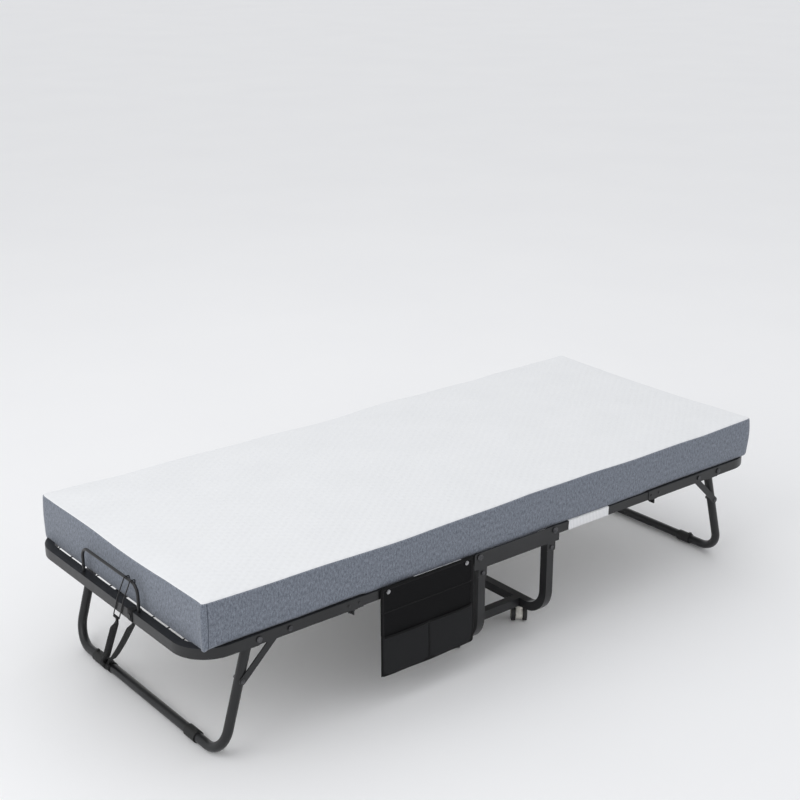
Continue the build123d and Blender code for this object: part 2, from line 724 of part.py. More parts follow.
def strap_run(start, end):
    """A straight run of webbing from one point to another, its width as near to X as it can be."""
    run = Vector(*end) - Vector(*start)
    heading = run.normalized()
    across = (Vector(1, 0, 0) - heading * heading.X).normalized()
    middle = (Vector(*start) + Vector(*end)) * 0.5
    with BuildPart(Plane(origin=middle, x_dir=across, z_dir=heading)) as webbing:
        Box(strap_width, strap_thickness, run.length)
    return webbing.part


def strap_webbing():
    """Webbing looped round the head rail and the leg bar, with a free run up to the wire link."""
    play = 0.4
    rail_loop_top = rail_top_z + play
    rail_loop_bottom = rail_bottom_z - play
    leg_loop_radius = leg_radius + play
    leg_loop = Vector(-leg_foot_x, strap_foot_y, foot_sleeve_radius)
    tail = (-leg_foot_x - 5, strap_foot_y, foot_sleeve_radius + leg_loop_radius)
    with BuildPart() as webbing:
        with Locations((-end_rail_x, -strap_y, rail_centre_z)):
            Box(rail_width + 2 * play + 2 * strap_thickness, strap_width,
                rail_loop_top - rail_loop_bottom + 2 * strap_thickness)
            Box(rail_width + 2 * play, strap_width, rail_loop_top - rail_loop_bottom, mode=Mode.SUBTRACT)
        with Locations(leg_loop):
            Cylinder(leg_loop_radius + strap_thickness, strap_width, rotation=(90, 0, 0))
            Cylinder(leg_loop_radius, strap_width, rotation=(90, 0, 0), mode=Mode.SUBTRACT)
        add(strap_run((-end_rail_x, -strap_y, rail_loop_bottom - strap_thickness), tail))
        add(strap_run((-deck_half_length, -strap_link_y, strap_link_z - 5), tail))
    return webbing.part


def strap_hardware():
    """The wire link that hooks over the hoop, and the snap on the strap."""
    half = strap_width / 2 + 2 * strap_wire_radius
    over_hoop = hoop_top_z + hoop_radius + strap_wire_radius + 0.4
    outside = deck_half_length + strap_wire_radius + 0.6
    shoulder = end_rail_x + hoop_radius + strap_wire_radius + 1.0
    inside = end_rail_x - hoop_radius - strap_wire_radius - 1.0
    centre_y = -strap_hook_y
    knee_y = (centre_y - strap_link_y) / 2
    knee_z = rail_top_z + 14
    weld = 0.05
    far_side = [(-inside, centre_y + weld, over_hoop - 10), (-inside, centre_y + half, over_hoop - 10),
                (-inside, centre_y + half, over_hoop), (-shoulder, centre_y + half, over_hoop),
                (-outside, knee_y + half, knee_z), (-outside, -strap_link_y + half, strap_link_z)]
    near_side = [(-outside, -strap_link_y - half, strap_link_z), (-outside, knee_y - half, knee_z),
                 (-shoulder, centre_y - half, over_hoop),
                 (-inside, centre_y - half, over_hoop), (-inside, centre_y - half, over_hoop - 10),
                 (-inside, centre_y - weld, over_hoop - 10)]
    link = bent_rod(Plane.XY, far_side + near_side, 3.0, strap_wire_radius)
    snap_x = -deck_half_length - 0.4 - strap_thickness
    with BuildPart(Plane(origin=(snap_x, -strap_y, rail_centre_z), x_dir=(0, 1, 0), z_dir=(-1, 0, 0))) as snap:
        Cylinder(6, 2, align=(Align.CENTER, Align.CENTER, Align.MIN))
    return group(link, snap.part)


def save(name, part):
    part.label = name
    export_step(part, f"parts/{name}.step")


os.makedirs("parts", exist_ok=True)

half_pieces = {
    "outer_frame": outer_frame(),
    "side_rails": side_rails(),
    "rail_caps": rail_caps(),
    "crossbars": crossbars(),
    "spine_bars": spine_bars(),
    "wire_grid": wire_grid(),
    "splice_tabs": splice_tabs(),
    "leg_brackets": leg_brackets(),
    "leg_pivot_bolts": leg_pivot_bolts(),
    "mattress_hoop": mattress_hoop(),
    "mattress": mattress_half(),
    "retaining_bands": retaining_bands(),
    "leg": leg(),
    "foot_sleeves": foot_sleeves(),
    "leg_braces": braces(),
    "brace_bolts": brace_bolts(),
}
for piece, part in half_pieces.items():
    save(f"foot_{piece}", part)
    save(f"head_{piece}", mirror(part, about=Plane.YZ))

save("carriage_hoop_head", carriage_hoop(-carriage_x))
save("carriage_hoop_foot", carriage_hoop(carriage_x))
save("carriage_floor_bars", floor_bars())
save("side_plate_near", side_plate(-1))
save("side_plate_far", side_plate(1))
save("centre_deck_frame", centre_deck_frame())
save("centre_deck_wires", centre_deck_wires())
save("fold_pivot_bolts", fold_pivot_bolts())
save("side_plate_screws", side_plate_screws())
save("mattress_centre", mattress_centre())
save("caster_stems", caster_stems())
for end_name, end in (("head", -1), ("foot", 1)):
    for side_name, side in (("near", -1), ("far", 1)):
        place = (end * carriage_x, side * floor_bar_y)
        save(f"caster_housing_{end_name}_{side_name}", caster_housing(*place))
        save(f"caster_tyres_{end_name}_{side_name}", caster_tyres(*place))
        save(f"caster_hubs_{end_name}_{side_name}", caster_hubs(*place))

save("organizer_hem", organizer_hem())
save("organizer_pockets", organizer_pockets())
save("organizer_snaps", organizer_snaps())
save("strap_webbing", strap_webbing())
save("strap_hardware", strap_hardware())
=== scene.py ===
import math

import bmesh
import bpy
import numpy as np
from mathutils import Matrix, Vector, noise


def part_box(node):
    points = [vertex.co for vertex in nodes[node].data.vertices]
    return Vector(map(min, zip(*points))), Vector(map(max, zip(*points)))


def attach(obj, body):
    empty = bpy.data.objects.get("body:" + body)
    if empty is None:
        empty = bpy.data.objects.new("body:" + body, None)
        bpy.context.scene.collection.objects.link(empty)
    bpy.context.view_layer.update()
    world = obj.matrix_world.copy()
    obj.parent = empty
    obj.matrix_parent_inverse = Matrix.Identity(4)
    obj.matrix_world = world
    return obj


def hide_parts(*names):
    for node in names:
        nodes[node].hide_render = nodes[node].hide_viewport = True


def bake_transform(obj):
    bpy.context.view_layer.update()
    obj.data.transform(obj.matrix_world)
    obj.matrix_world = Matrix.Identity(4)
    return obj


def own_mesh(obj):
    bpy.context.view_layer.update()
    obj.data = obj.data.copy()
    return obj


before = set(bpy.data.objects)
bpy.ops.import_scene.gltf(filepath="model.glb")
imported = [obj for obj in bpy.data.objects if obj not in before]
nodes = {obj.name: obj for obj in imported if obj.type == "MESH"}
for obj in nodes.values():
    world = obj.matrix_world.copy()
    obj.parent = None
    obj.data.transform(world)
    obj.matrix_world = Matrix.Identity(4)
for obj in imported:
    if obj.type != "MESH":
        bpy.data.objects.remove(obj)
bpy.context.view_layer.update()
print("frame loaded,", len(nodes), "pieces")


# small helpers for shader trees
def startMaterial(name, colour, roughness, metallic=0.0, **sockets):
    material = bpy.data.materials.new(name)
    material.use_nodes = True
    shader = material.node_tree.nodes["Principled BSDF"]
    shader.inputs["Base Color"].default_value = (*colour, 1)
    shader.inputs["Roughness"].default_value = roughness
    shader.inputs["Metallic"].default_value = metallic
    for socket, value in sockets.items():
        shader.inputs[socket.replace("_", " ")].default_value = value
    return material, material.node_tree, shader


def addNode(tree, kind, settings=None, **sockets):
    node = tree.nodes.new(kind)
    for key, value in (settings or {}).items():
        setattr(node, key, value)
    for socket, value in sockets.items():
        target = node.inputs[socket.replace("_", " ")]
        if isinstance(value, bpy.types.NodeSocket):
            tree.links.new(value, target)
        else:
            target.default_value = value
    return node


def calculate(tree, operation, first, second=0.0):
    node = tree.nodes.new("ShaderNodeMath")
    node.operation = operation
    for target, value in zip(node.inputs, (first, second)):
        if isinstance(value, bpy.types.NodeSocket):
            tree.links.new(value, target)
        else:
            target.default_value = value
    return node.outputs[0]


def surfacePlace(tree, source, stretch=(1, 1, 1), turn=0.0):
    place = tree.nodes.new("ShaderNodeTexCoord").outputs[source]
    mapping = addNode(tree, "ShaderNodeMapping", Vector=place, Scale=stretch, Rotation=(0, 0, turn))
    return mapping.outputs["Vector"]


def speckle(tree, place, scale, detail=2.0, roughness=0.5):
    return addNode(tree, "ShaderNodeTexNoise", Vector=place, Scale=scale, Detail=detail,
                   Roughness=roughness).outputs["Fac"]


def ridges(tree, place, scale, direction="X", wobble=0.0):
    return addNode(tree, "ShaderNodeTexWave", {"bands_direction": direction}, Vector=place, Scale=scale,
                   Distortion=wobble).outputs["Fac"]


def tint(tree, share, dark, light, low=0.3, high=0.7):
    ramp = tree.nodes.new("ShaderNodeValToRGB")
    ramp.color_ramp.elements[0].position = low
    ramp.color_ramp.elements[0].color = (*dark, 1)
    ramp.color_ramp.elements[1].position = high
    ramp.color_ramp.elements[1].color = (*light, 1)
    tree.links.new(share, ramp.inputs["Fac"])
    return ramp.outputs["Color"]


def between(tree, share, low, high):
    node = addNode(tree, "ShaderNodeMapRange", Value=share)
    node.inputs["To Min"].default_value = low
    node.inputs["To Max"].default_value = high
    return node.outputs["Result"]


def relief(tree, shader, *layers):
    # each layer is (height, strength, distance), the coarsest first
    normal = None
    for height, strength, distance in layers:
        bump = addNode(tree, "ShaderNodeBump", Height=height, Strength=strength, Distance=distance)
        if normal:
            tree.links.new(normal, bump.inputs["Normal"])
        normal = bump.outputs["Normal"]
    tree.links.new(normal, shader.inputs["Normal"])


# coats, plastics and metals
def coatedSteel(name, dark, light, gloss):
    material, tree, shader = startMaterial(name, light, gloss, Specular_IOR_Level=0.42)
    place = surfacePlace(tree, "Object")
    cloud = speckle(tree, place, 9, 4)
    peel = speckle(tree, place, 850, 2)
    dust = speckle(tree, place, 55, 6, 0.65)
    tree.links.new(tint(tree, cloud, dark, light), shader.inputs["Base Color"])
    tree.links.new(between(tree, dust, gloss - 0.07, gloss + 0.1), shader.inputs["Roughness"])
    relief(tree, shader, (cloud, 0.05, 0.004), (peel, 0.28, 0.0004))
    return material


def mouldedPlastic(name, dark, light, gloss, grain=1400):
    material, tree, shader = startMaterial(name, light, gloss)
    place = surfacePlace(tree, "Object")
    grit = addNode(tree, "ShaderNodeTexVoronoi", Vector=place, Scale=grain).outputs["Distance"]
    smear = speckle(tree, place, 30, 5)
    tree.links.new(tint(tree, smear, dark, light), shader.inputs["Base Color"])
    tree.links.new(between(tree, smear, gloss - 0.06, gloss + 0.12), shader.inputs["Roughness"])
    relief(tree, shader, (grit, 0.2, 0.0003))
    return material


def bareMetal(name, dark, light, gloss, grain=(60, 60, 900)):
    material, tree, shader = startMaterial(name, light, gloss, 1.0)
    brushed = speckle(tree, surfacePlace(tree, "Object", grain), 1.0, 4)
    stain = speckle(tree, surfacePlace(tree, "Object"), 120, 4)
    tree.links.new(tint(tree, stain, dark, light), shader.inputs["Base Color"])
    tree.links.new(between(tree, brushed, gloss - 0.08, gloss + 0.12), shader.inputs["Roughness"])
    relief(tree, shader, (brushed, 0.08, 0.0002))
    return material


frameCoat = coatedSteel("frameCoat", (0.008, 0.0082, 0.009), (0.015, 0.0155, 0.017), 0.34)
wireCoat = coatedSteel("wireCoat", (0.005, 0.005, 0.0055), (0.01, 0.01, 0.011), 0.38)
boltCoat = bareMetal("boltCoat", (0.05, 0.05, 0.053), (0.12, 0.12, 0.125), 0.32)
capPlastic = mouldedPlastic("capPlastic", (0.006, 0.006, 0.0065), (0.012, 0.012, 0.013), 0.48)
footRubber = mouldedPlastic("footRubber", (0.006, 0.006, 0.006), (0.014, 0.014, 0.014), 0.6, 900)
tyreRubber = mouldedPlastic("tyreRubber", (0.008, 0.008, 0.008), (0.018, 0.018, 0.0175), 0.55, 1100)
casterPlastic = mouldedPlastic("casterPlastic", (0.6, 0.58, 0.52), (0.72, 0.7, 0.65), 0.4)
stemSteel = bareMetal("stemSteel", (0.45, 0.45, 0.46), (0.66, 0.66, 0.68), 0.28)
snapMetal = bareMetal("snapMetal", (0.22, 0.22, 0.23), (0.42, 0.42, 0.43), 0.24)

finishes = {
    "frame_coat": frameCoat, "wire_coat": wireCoat, "bolt_coat": boltCoat, "cap_plastic": capPlastic,
    "foot_rubber": footRubber, "tyre_rubber": tyreRubber, "caster_plastic": casterPlastic,
    "stem_steel": stemSteel, "snap_metal": snapMetal,
}
slotWords = {
    "wire": "wire_coat", "bolts": "bolt_coat", "screws": "bolt_coat", "rail_caps": "cap_plastic",
    "sleeves": "foot_rubber", "tyres": "tyre_rubber", "housing": "caster_plastic",
    "hubs": "caster_plastic", "stems": "stem_steel", "snaps": "snap_metal",
}
for name, piece in nodes.items():
    words = [word for word in slotWords if word in name]
    finish = finishes[slotWords[words[0]] if words else "frame_coat"]
    for slot in piece.material_slots:
        slot.material = finish
nodes["strap_hardware"].material_slots[0].material = wireCoat
print("hard pieces finished")


# cloths
def knitTop(name):
    material, tree, shader = startMaterial(name, (0.84, 0.85, 0.86), 0.86, Sheen_Weight=0.15)
    place = surfacePlace(tree, "UV")
    slant = ridges(tree, surfacePlace(tree, "UV", turn=math.radians(52)), 16, wobble=0.25)
    counter = ridges(tree, surfacePlace(tree, "UV", turn=math.radians(-52)), 16, wobble=0.25)
    quilt = calculate(tree, "MULTIPLY", slant, counter)
    loops = ridges(tree, place, 170, "Y", 1.5)
    soft = speckle(tree, place, 6, 3)
    pale = tint(tree, soft, (0.80, 0.808, 0.818), (0.825, 0.832, 0.842))
    tree.links.new(pale, shader.inputs["Base Color"])
    relief(tree, shader, (quilt, 0.6, 0.002), (loops, 0.25, 0.0003))
    return material


def heatherKnit(name, seamPlaces):
    material, tree, shader = startMaterial(name, (0.24, 0.28, 0.34), 0.9, Sheen_Weight=0.25)
    place = surfacePlace(tree, "UV")
    dashes = speckle(tree, surfacePlace(tree, "UV", (230, 95, 1)), 1.0, 5, 0.72)
    flecks = speckle(tree, surfacePlace(tree, "UV", (640, 380, 1)), 1.0, 3, 0.8)
    shade = calculate(tree, "ADD", calculate(tree, "MULTIPLY", dashes, 0.62),
                      calculate(tree, "MULTIPLY", flecks, 0.38))
    colour = tint(tree, shade, (0.052, 0.064, 0.088), (0.29, 0.32, 0.375), 0.36, 0.68)
    columns = ridges(tree, place, 240, "X", 0.8)
    rows = ridges(tree, place, 330, "Y", 0.8)
    knit = calculate(tree, "MULTIPLY", columns, rows)
    # thin dark line where the ends of the side strip are sewn together
    along = addNode(tree, "ShaderNodeSeparateXYZ", Vector=place).outputs["X"]
    seam = None
    for seamPlace in seamPlaces:
        away = calculate(tree, "ABSOLUTE", calculate(tree, "SUBTRACT", along, seamPlace))
        near = calculate(tree, "LESS_THAN", away, 0.0012)
        seam = near if seam is None else calculate(tree, "MAXIMUM", seam, near)
    line = addNode(tree, "ShaderNodeMix", {"data_type": "RGBA"})
    tree.links.new(seam, line.inputs["Factor"])
    tree.links.new(colour, line.inputs["A"])
    line.inputs["B"].default_value = (0.05, 0.06, 0.08, 1)
    tree.links.new(line.outputs["Result"], shader.inputs["Base Color"])
    raised = calculate(tree, "SUBTRACT", 1.0, seam)
    relief(tree, shader, (raised, 0.6, 0.0012), (shade, 0.25, 0.0006), (knit, 0.3, 0.0003))
    return material


def wovenCloth(name, dark, light, threads, gloss=0.85, sheen=0.2, shine=0.5):
    material, tree, shader = startMaterial(name, light, gloss, Sheen_Weight=sheen, Specular_IOR_Level=shine)
    place = surfacePlace(tree, "UV")
    warp = ridges(tree, place, threads, "X", 0.4)
    weft = ridges(tree, place, threads, "Y", 0.4)
    weave = calculate(tree, "MAXIMUM", warp, weft)
    lint = speckle(tree, place, 260, 4, 0.7)
    mixed = calculate(tree, "ADD", calculate(tree, "MULTIPLY", weave, 0.4),
                      calculate(tree, "MULTIPLY", lint, 0.6))
    tree.links.new(tint(tree, mixed, dark, light, 0.3, 0.75), shader.inputs["Base Color"])
    relief(tree, shader, (lint, 0.15, 0.0006), (weave, 0.4, 0.0004))
    return material


def ribbedElastic(name):
    material, tree, shader = startMaterial(name, (0.82, 0.82, 0.82), 0.75, Sheen_Weight=0.2)
    place = surfacePlace(tree, "UV")
    ribs = ridges(tree, place, 55, "X", 0.1)
    picks = ridges(tree, place, 160, "Y", 0.6)
    weave = calculate(tree, "ADD", calculate(tree, "MULTIPLY", ribs, 0.7),
                      calculate(tree, "MULTIPLY", picks, 0.3))
    white = tint(tree, weave, (0.62, 0.63, 0.65), (0.86, 0.86, 0.87), 0.1, 0.8)
    tree.links.new(white, shader.inputs["Base Color"])
    relief(tree, shader, (weave, 0.5, 0.0007))
    return material


def webbingWeave(name):
    material, tree, shader = startMaterial(name, (0.01, 0.01, 0.011), 0.7, Sheen_Weight=0.02,
                                           Specular_IOR_Level=0.2)
    left = ridges(tree, surfacePlace(tree, "UV", turn=math.radians(35)), 130, wobble=0.3)
    right = ridges(tree, surfacePlace(tree, "UV", turn=math.radians(-35)), 130, wobble=0.3)
    weave = calculate(tree, "MAXIMUM", left, right)
    black = tint(tree, weave, (0.004, 0.004, 0.0044), (0.016, 0.016, 0.017), 0.2, 0.9)
    tree.links.new(black, shader.inputs["Base Color"])
    relief(tree, shader, (weave, 0.5, 0.0005))
    return material


# sheets and ribbons as closed thin shells
def finishMesh(name, vertices, faces, uvs, material):
    mesh = bpy.data.meshes.new(name)
    mesh.from_pydata([tuple(v) for v in vertices], [], faces)
    layer = mesh.uv_layers.new(name="UVMap")
    for loop in mesh.loops:
        layer.data[loop.index].uv = uvs[loop.vertex_index]
    mesh.materials.append(material)
    for polygon in mesh.polygons:
        polygon.use_smooth = True
    mesh.validate()
    made = bmesh.new()
    made.from_mesh(mesh)
    bmesh.ops.recalc_face_normals(made, faces=made.faces)
    made.to_mesh(mesh)
    made.free()
    piece = bpy.data.objects.new(name, mesh)
    bpy.context.scene.collection.objects.link(piece)
    return piece


def thinShell(name, pointAt, columns, rows, thickness, inward, size, material):
    # pointAt(u, v) gives the outer face; the inner face lies a thickness behind it
    vertices, uvs, faces = [], [], []
    for side in (0, 1):
        for j in range(rows + 1):
            for i in range(columns + 1):
                u, v = i / columns, j / rows
                vertices.append(Vector(pointAt(u, v)) + side * thickness * Vector(inward))
                uvs.append((u * size[0], v * size[1]))
    across = columns + 1
    back = across * (rows + 1)
    for j in range(rows):
        for i in range(columns):
            a = j * across + i
            faces.append((a, a + 1, a + across + 1, a + across))
            faces.append((a + back, a + across + back, a + across + 1 + back, a + 1 + back))
    rim = (list(range(columns)) + [j * across + columns for j in range(rows)]
           + [rows * across + columns - i for i in range(columns)]
           + [(rows - j) * across for j in range(rows)])
    for here, there in zip(rim, rim[1:] + rim[:1]):
        faces.append((here, here + back, there + back, there))
    return finishMesh(name, vertices, faces, uvs, material)


def ribbonShell(path, widths, width, thickness, closed, base=0):
    # a flat tape with rounded edges: path points, and the unit vector across the tape at each of them
    section = [(-0.5, 0.0), (-0.47, 0.42), (0.0, 0.5), (0.47, 0.42),
               (0.5, 0.0), (0.47, -0.42), (0.0, -0.5), (-0.47, -0.42)]
    vertices, uvs, faces = [], [], []
    count = len(path)
    run = 0.0
    for k in range(count):
        before = path[k - 1] if closed or k else path[k]
        after = path[(k + 1) % count] if closed or k < count - 1 else path[k]
        heading = (after - before).normalized()
        across = (widths[k] - heading * widths[k].dot(heading)).normalized()
        up = heading.cross(across).normalized()
        if k:
            run += (path[k] - path[k - 1]).length
        for a, b in section:
            vertices.append(path[k] + across * a * width + up * b * thickness)
            uvs.append((a * width, run))
    around = len(section)
    for k in range(count if closed else count - 1):
        there = ((k + 1) % count) * around
        for s in range(around):
            t = (s + 1) % around
            faces.append((base + k * around + s, base + k * around + t, base + there + t, base + there + s))
    if not closed:
        faces.append(tuple(base + s for s in range(around)))
        faces.append(tuple(base + (count - 1) * around + s for s in reversed(range(around))))
    return vertices, uvs, faces


def ribbonPiece(name, runs, width, thickness, material):
    vertices, uvs, faces = [], [], []
    for path, widths, closed in runs:
        v, t, f = ribbonShell(path, widths, width, thickness, closed, len(vertices))
        vertices += v
        uvs += t
        faces += f
    return finishMesh(name, vertices, faces, uvs, material)


def smoothPath(points, steps):
    # rounds a few guide points into an even curve
    result = []
    for k in range(len(points) - 1):
        a, b = points[max(k - 1, 0)], points[k]
        c, d = points[k + 1], points[min(k + 2, len(points) - 1)]
        for s in range(steps):
            t = s / steps
            result.append(0.5 * (2 * b + (c - a) * t + (2 * a - 5 * b + 4 * c - d) * t * t
                                 + (3 * b - a - 3 * c + d) * t ** 3))
    result.append(points[-1].copy())
    return result


# a Geometry Nodes tree that sews a row of stitches along each line of a wire mesh
def stitchTree():
    tree = bpy.data.node_groups.new("sewnRow", "GeometryNodeTree")
    for name, kind in (("Geometry", "Geometry"), ("pitch", "Float"), ("stitchSize", "Vector"),
                       ("thread", "Material")):
        tree.interface.new_socket(name=name, in_out="INPUT", socket_type="NodeSocket" + kind)
    tree.interface.new_socket(name="Geometry", in_out="OUTPUT", socket_type="NodeSocketGeometry")
    start = tree.nodes.new("NodeGroupInput").outputs
    end = tree.nodes.new("NodeGroupOutput").inputs

    def step(kind, settings=None, **sockets):
        return addNode(tree, "GeometryNode" + kind, settings, **sockets)

    line = step("MeshToCurve", Mesh=start["Geometry"])
    points = step("CurveToPoints", {"mode": "LENGTH"}, Curve=line.outputs["Curve"], Length=start["pitch"])
    bead = step("MeshUVSphere", Segments=6, Rings=4, Radius=0.5)
    stitch = step("Transform", Geometry=bead.outputs["Mesh"], Scale=start["stitchSize"])
    row = step("InstanceOnPoints", Points=points.outputs["Points"], Instance=stitch.outputs["Geometry"],
               Rotation=points.outputs["Rotation"])
    real = step("RealizeInstances", Geometry=row.outputs["Instances"])
    sewn = step("SetMaterial", Geometry=real.outputs["Geometry"], Material=start["thread"])
    tree.links.new(sewn.outputs["Geometry"], end["Geometry"])
    return tree


sewnRow = stitchTree()


def sew(name, lines, thread, pitch=0.005, length=0.0034, thickness=0.0008):
    vertices, edges = [], []
    for line in lines:
        first = len(vertices)
        vertices += [tuple(p) for p in line]
        edges += [(first + k, first + k + 1) for k in range(len(line) - 1)]
    guideMesh = bpy.data.meshes.new(name + "Guide")
    guideMesh.from_pydata(vertices, edges, [])
    guide = bpy.data.objects.new(name + "Guide", guideMesh)
    bpy.context.scene.collection.objects.link(guide)
    modifier = guide.modifiers.new("sewnRow", "NODES")
    modifier.node_group = sewnRow
    values = {"pitch": pitch, "stitchSize": (thickness, thickness, length), "thread": thread}
    for item in sewnRow.interface.items_tree:
        if item.in_out == "INPUT" and item.name in values:
            modifier[item.identifier] = values[item.name]
    evaluated = guide.evaluated_get(bpy.context.evaluated_depsgraph_get())
    mesh = bpy.data.meshes.new_from_object(evaluated)
    mesh.name = name
    for polygon in mesh.polygons:
        polygon.use_smooth = True
    piece = bpy.data.objects.new(name, mesh)
    bpy.context.scene.collection.objects.link(piece)
    bpy.data.objects.remove(guide)
    return piece


# mattress
mattress = {
    "headEnd": 0.974, "footEnd": 0.973, "width": 0.816, "bottom": 0.332, "top": 0.4525,
    "corner": 0.022, "edge": 0.008, "underEdge": 0.007, "sideBulge": 0.0025, "endBulge": 0.007,
    "cornerCells": 2, "halfCells": 62, "widthCells": 50, "sideRows": 7,
    "pressure": 4.0, "swellCap": 0.004, "seamDepth": 0.0018, "bendStart": 0.098, "bendEnd": 0.180,
    "bendHeight": 0.39, "fill": 0.9, "sideSeams": (0.018, 2.706),
    "edgeSag": 0.0072, "edgeSagReach": 0.10, "cornerStay": 0.22,
    "underDroop": 0.0052, "droopRise": 0.1, "droopFromY": 0.39, "droopToX": 0.5, "droopHeadX": -0.955,
    "leanFromX": 0.9, "lean": 0.008, "broadWave": 0.0013, "localWave": 0.0006,
    "sideWave": 0.0016, "sideLocal": 0.0007, "topShare": 0.2,
}


def axisLines(low, high, corner, cornerCells, cells):
    # grid lines from low through 0 to high, finer in the corners
    ends = [corner * k / cornerCells for k in range(cornerCells)]
    below = list(np.linspace(low + corner, 0, cells + 1))
    above = list(np.linspace(0, high - corner, cells + 1))
    return [low + e for e in ends] + below + above[1:] + [high - e for e in reversed(ends)]


def planGrid(inset):
    # a grid over the rounded outline, set in by inset
    corner = mattress["corner"] - inset
    low, high = -mattress["headEnd"] + inset, mattress["footEnd"] - inset
    wide = mattress["width"] / 2 - inset
    xs = axisLines(low, high, corner, mattress["cornerCells"], mattress["halfCells"])
    ys = axisLines(-wide, wide, corner, mattress["cornerCells"], mattress["widthCells"] // 2)
    grid = {}
    for i, x in enumerate(xs):
        for j, y in enumerate(ys):
            pastX = x - (high - corner) if x > 0 else (low + corner) - x
            u, v = pastX / corner, (abs(y) - (wide - corner)) / corner
            if u > 0 and v > 0:
                roundU, roundV = u * math.sqrt(1 - v * v / 2), v * math.sqrt(1 - u * u / 2)
                x = high - corner + corner * roundU if x > 0 else low + corner - corner * roundU
                y = math.copysign(wide - corner + corner * roundV, y)
            grid[i, j] = (x, y)
    return grid, len(xs), len(ys)


def sideLevels():
    # (inset, height) of each ring from the top edge down to the underside
    high, low = mattress["top"], mattress["bottom"]
    edge, under = mattress["edge"], mattress["underEdge"]
    levels = []
    for degrees in (30, 45, 60, 90):
        a = math.radians(degrees)
        levels.append((edge * (1 - math.sin(a)), high - edge * (1 - math.cos(a))))
    wall = high - edge - low - under
    for k in range(1, mattress["sideRows"] + 1):
        share = k / mattress["sideRows"]
        levels.append((-mattress["sideBulge"] * math.sin(math.pi * share), high - edge - wall * share))
    for degrees in (60, 30):
        a = math.radians(degrees)
        levels.append((under * (1 - math.sin(a)), low + under * (1 - math.cos(a))))
    return levels


def buildMattress(top, sides, under):
    grid, nx, ny = planGrid(mattress["edge"])
    underGrid = planGrid(mattress["underEdge"])[0]
    rim = ([(i, 0) for i in range(nx - 1)] + [(nx - 1, j) for j in range(ny - 1)]
           + [(i, ny - 1) for i in range(nx - 1, 0, -1)] + [(0, j) for j in range(ny - 1, 0, -1)])
    vertices, faces, faceMaterials = [], [], []
    topIndex, bottomIndex, rings = {}, {}, []
    for key, (x, y) in grid.items():
        topIndex[key] = len(vertices)
        vertices.append((x, y, mattress["top"]))
    for inset, z in sideLevels():
        plan = planGrid(inset)[0]
        rings.append([len(vertices) + k for k in range(len(rim))])
        vertices += [(*plan[key], z) for key in rim]
    for key, (x, y) in underGrid.items():
        bottomIndex[key] = len(vertices)
        vertices.append((x, y, mattress["bottom"]))
    for i in range(nx - 1):
        for j in range(ny - 1):
            corners = [(i, j), (i + 1, j), (i + 1, j + 1), (i, j + 1)]
            faces.append(tuple(topIndex[c] for c in corners))
            faceMaterials.append(0)
            faces.append(tuple(bottomIndex[c] for c in reversed(corners)))
            faceMaterials.append(2)
    loops = [[topIndex[key] for key in rim]] + rings + [[bottomIndex[key] for key in rim]]
    for level, (above, below) in enumerate(zip(loops, loops[1:])):
        for k in range(len(rim)):
            n = (k + 1) % len(rim)
            faces.append((above[k], below[k], below[n], above[n]))
            faceMaterials.append(0 if level < 2 else 1)
    # length along the outline for the side cloth
    middle = rings[len(rings) // 2]
    around = [0.0]
    for k in range(len(middle)):
        here, there = middle[k], middle[(k + 1) % len(middle)]
        around.append(around[-1] + math.dist(vertices[here][:2], vertices[there][:2]))
    placeAlong = {index: around[k] for loop in loops for k, index in enumerate(loop)}
    mesh = bpy.data.meshes.new("mattressShell")
    mesh.from_pydata(vertices, [], faces)
    layer = mesh.uv_layers.new(name="UVMap")
    for polygon, kind in zip(mesh.polygons, faceMaterials):
        polygon.use_smooth = True
        polygon.material_index = kind
        corners = [(k, mesh.loops[k].vertex_index) for k in polygon.loop_indices]
        places = [placeAlong.get(index, 0.0) for k, index in corners]
        wraps = max(places) - min(places) > around[-1] / 2
        for (k, index), place in zip(corners, places):
            x, y, z = mesh.vertices[index].co
            lapped = place + around[-1] if wraps and place < around[-1] / 2 else place
            layer.data[k].uv = (lapped, z) if kind == 1 else (x, y)
    for material in (top, sides, under):
        mesh.materials.append(material)
    shell = bpy.data.objects.new("mattressShell", mesh)
    bpy.context.scene.collection.objects.link(shell)
    return shell, rings, list(bottomIndex.values())


def inflate(shell, held):
    rest = np.array([v.co[:] for v in shell.data.vertices])
    group = shell.vertex_groups.new(name="held")
    group.add(held, 1.0, "REPLACE")
    cloth = shell.modifiers.new("Cloth", "CLOTH")
    settings = cloth.settings
    settings.quality = 5
    settings.mass = 0.3
    settings.tension_stiffness = settings.compression_stiffness = 30
    settings.bending_stiffness = 3
    settings.use_pressure = True
    settings.uniform_pressure_force = mattress["pressure"]
    settings.vertex_group_mass = "held"
    settings.effector_weights.gravity = 0
    cloth.point_cache.frame_start, cloth.point_cache.frame_end = 1, 16
    for f in range(1, 17):
        bpy.context.scene.frame_set(f)
    evaluated = shell.evaluated_get(bpy.context.evaluated_depsgraph_get())
    blown = np.array([v.co[:] for v in evaluated.to_mesh().vertices])
    evaluated.to_mesh_clear()
    shell.modifiers.remove(cloth)
    bpy.context.scene.frame_set(1)
    move = blown - rest
    size = np.linalg.norm(move, axis=1, keepdims=True)
    move *= np.minimum(1, mattress["swellCap"] / np.maximum(size, 1e-9))
    shell.data.vertices.foreach_set("co", (rest + move).ravel())
    shell.data.update()


